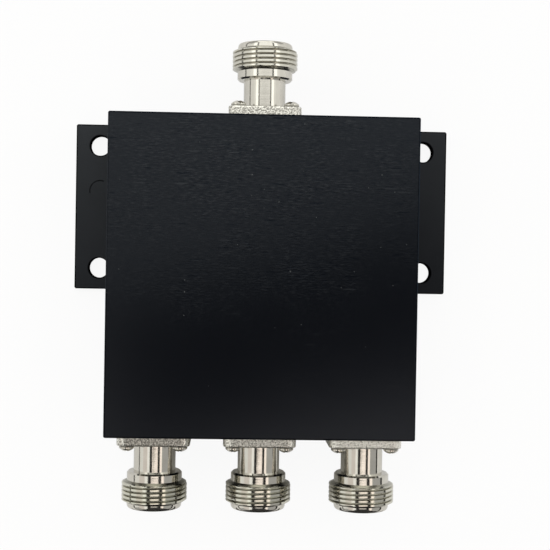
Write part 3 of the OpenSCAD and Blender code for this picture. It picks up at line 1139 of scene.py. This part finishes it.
# %% [markdown]
# Soft panels hang one metre up: a wide one over the part and a brighter one beyond it, a narrower
# and warmer one on this side, bright ones to the left and right with dimmer borders, and one far
# off at each end. Two walls of the tent carry the border down to the table. A panel's power follows
# from its size and from how bright its face should look.

# %% A panel
PANEL_HEIGHT = 1.0


def panel(name, centre, size, radiance, colour, lean=0.0):
    lamp = bpy.data.lights.new(name, "AREA")
    lamp.shape = "RECTANGLE"
    lamp.size, lamp.size_y = size
    lamp.color = colour
    lamp.energy = radiance * math.pi * size[0] * size[1]
    holder = bpy.data.objects.new(name, lamp)
    bpy.context.collection.objects.link(holder)
    holder.location = centre
    holder.rotation_euler.y = lean
    holder.visible_camera = False
    print("panel", name, "power", round(lamp.energy, 2))


def roof_panel(name, x_range, y_range, radiance, colour):
    centre = (sum(x_range) / 2, sum(y_range) / 2, PANEL_HEIGHT)
    panel(name, centre, (x_range[1] - x_range[0], y_range[1] - y_range[0]), radiance, colour)

# %% [markdown]
# The places below are metres from the part's middle. Each panel is written as its reach in X, its
# reach in Y, the brightness of its face and its colour.

# %% Hang the panels
FAR_HALF = 0.56
FAR_START = 0.212
FAR_END = 1.0
NEAR_START = -0.1
NEAR_END = -0.28
NEAR_LEFT = -0.2
NEAR_RIGHT = 0.33
NEAR_FRAME_W = 0.26
SIDE_START = 0.63
SIDE_END = 1.2
LEFT_END = -0.78
RIGHT_END = 0.9
END_HALF = 1.0
END_START = 1.2
END_STOP = 2.2
WALL_X = 1.9
WALL_MIDDLE = 0.5
DAY = (1.0, 1.0, 0.95)
WARM = (1.0, 0.86, 0.77)
far_side = (0.0, FAR_END)
near_side = (-0.9, 0.0)
middle_x = (-FAR_HALF, FAR_HALF)
end_x = (-END_HALF, END_HALF)
roof_panel("middle_panel", middle_x, (NEAR_START, FAR_START), 0.28, DAY)
roof_panel("far_panel", middle_x, (FAR_START, FAR_END), 0.95, DAY)
roof_panel("near_panel", (NEAR_LEFT, NEAR_RIGHT), (NEAR_END, NEAR_START), 1.03, WARM)
roof_panel("left_far_panel", (-SIDE_END, -SIDE_START), far_side, 1.3, DAY)
roof_panel("right_far_panel", (SIDE_START, SIDE_END), far_side, 1.3, DAY)
roof_panel("left_far_border", (-WALL_X, -SIDE_END), far_side, 0.6, DAY)
roof_panel("right_far_border", (SIDE_END, WALL_X), far_side, 0.6, DAY)
roof_panel("left_near_panel", (LEFT_END, NEAR_LEFT - NEAR_FRAME_W), near_side, 0.75, DAY)
roof_panel("left_near_border", (-WALL_X, LEFT_END), near_side, 0.38, WARM)
roof_panel("right_near_panel", (NEAR_RIGHT + NEAR_FRAME_W, RIGHT_END), near_side, 1.05, WARM)
roof_panel("back_panel", end_x, (END_START, END_STOP), 1.5, DAY)
roof_panel("front_panel", end_x, (-END_STOP, -END_START), 1.2, DAY)
panel("left_wall", (-WALL_X, 0.1, WALL_MIDDLE), (1.0, 1.8), 0.5, DAY, -math.pi / 2)
panel("right_wall", (WALL_X, 0.55, WALL_MIDDLE), (1.0, 0.9), 0.5, DAY, math.pi / 2)

# %% [markdown]
# Bright metal needs something dark to reflect. The panels hang in dark frames, which draw the thin
# dark lines along the turned necks, and the camera's own body hangs over the lid and keeps the
# lower half of its reflection dark. Low black strips stand on the table to the left and right of the
# part and draw the line between table and sky. Each strip has its side, its height and its far end.

# %% Dark frames and the camera's body
FRAME_W = 0.14
FRAME_DROP = 0.01
STRIP_X = 0.5
STRIP_START = -0.8
STRIPS = ((-1, 0.05, 0.6), (1, 0.08, 0.0))
BODY_PLACE = (0.030, -0.0315, 0.31)
BODY_SIZE = (0.20, 0.084)
BODY_TURN = math.radians(14)
card_black = Finish("card_black", Base_Color=(0.02, 0.02, 0.02), Roughness=0.9).material
# A grey card that stands in for the shade between the outputs.
painted_shade_card = Finish("painted_shade_card", Base_Color=(0.7, 0.7, 0.68), Roughness=0.9).material


def dark_card(name, centre, size, turn=Matrix(), material=card_black):
    card = flat_sheet(name, Vector(centre), size, turn, material)
    card.visible_camera = False
    return card


upright = Matrix.Rotation(math.pi / 2, 4, "Y")
below_panels = PANEL_HEIGHT - FRAME_DROP
near_place = sum(near_side) / 2
near_length = near_side[1] - near_side[0]
for near_x in (NEAR_LEFT - NEAR_FRAME_W / 2, NEAR_RIGHT + NEAR_FRAME_W / 2):
    dark_card("near_frame", (near_x, near_place, below_panels), (NEAR_FRAME_W, near_length))
for side, strip_height, strip_end in STRIPS:
    far_x = side * (FAR_HALF + FRAME_W / 2)
    dark_card("far_frame", (far_x, FAR_END / 2, below_panels), (FRAME_W, FAR_END))
    strip_place = (side * STRIP_X, (STRIP_START + strip_end) / 2, strip_height / 2)
    dark_card("edge_strip", strip_place, (strip_height, strip_end - STRIP_START), upright)
dark_card("camera_body", BODY_PLACE, BODY_SIZE, Matrix.Rotation(BODY_TURN, 4, "Z"))
print("camera body", BODY_PLACE[2], "m over the table")

# %% [markdown]
# Three more cards show in reflections alone, so the table stays white and keeps its shadow. A grey
# card between the outputs is painted shade: it does not glow, so the sides of the sockets that face
# each other show a shade like the one that is really there. A black card lies in front of the outputs
# and a tall one stands across it, as the dark side of the room. They darken the lips and screw heads
# that face that way.

# %% Cards for the outputs
def reflected_card(name, centre, size, turn, material):
    card = dark_card(name, centre, size, turn, material)
    card.visible_diffuse = False
    card.visible_shadow = False
    card.visible_transmission = False


JUST_ABOVE = 0.0003
FRONT_Y = -0.24
FRONT_SIZE = (0.12, 0.33)
DARK_SIDE_PLACE = (0.05, -0.31, 0.475)
DARK_SIDE_SIZE = (0.6, 0.95)
gap_y = -(port_wall_y + reach / 2) * MM
gap_size = (2 * port_pitch * MM, 1.1 * reach * MM)
reflected_card("gap_shade_card", (0, gap_y, JUST_ABOVE), gap_size, Matrix(), painted_shade_card)
reflected_card("front_card", (0, FRONT_Y, JUST_ABOVE), FRONT_SIZE, Matrix(), card_black)
standing = Matrix.Rotation(math.pi / 2, 4, "X")
reflected_card("dark_side", DARK_SIDE_PLACE, DARK_SIDE_SIZE, standing, card_black)
print("paper between the outputs at", round(gap_y, 4))

# %% [markdown]
# The camera looks straight down from about 30 cm, a touch off centre and turned by one degree, as
# it was held for the photograph. Its place and lens were worked out from the edges of the part.

# %% Camera
CAMERA_PLACE = Vector((-8.454, 3.594, 298.6))
TILT_X = 0.01094
TILT_Y = 0.04108
ROLL = 0.01717
LENS_PIXELS = 1167.1
PICTURE_PIXELS = 550
SENSOR = 36.0
CLIP_START = 0.01
camera_data = bpy.data.cameras.new("camera")
camera_data.sensor_width = SENSOR
camera_data.lens = LENS_PIXELS * SENSOR / PICTURE_PIXELS
camera_data.clip_start = CLIP_START
camera = bpy.data.objects.new("camera", camera_data)
bpy.context.collection.objects.link(camera)
tilt = Matrix.Rotation(TILT_X, 3, "X") @ Matrix.Rotation(TILT_Y, 3, "Y")
into_camera = Matrix.Rotation(-ROLL, 3, "Z") @ tilt
camera.matrix_world = Matrix.Translation(CAMERA_PLACE * MM) @ into_camera.transposed().to_4x4()
bpy.context.scene.camera = camera
bpy.context.scene.view_settings.view_transform = "Standard"
print("lens", round(camera_data.lens, 2), "mm")

# %% [markdown]
# Last, the boxes of the CAD part and of the dressed part are printed side by side.

# %% Measure the result and finish
boxes = {"cad": [list(corner) for corner in cad_box], "visual": [list(corner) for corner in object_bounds()]}
print(boxes)
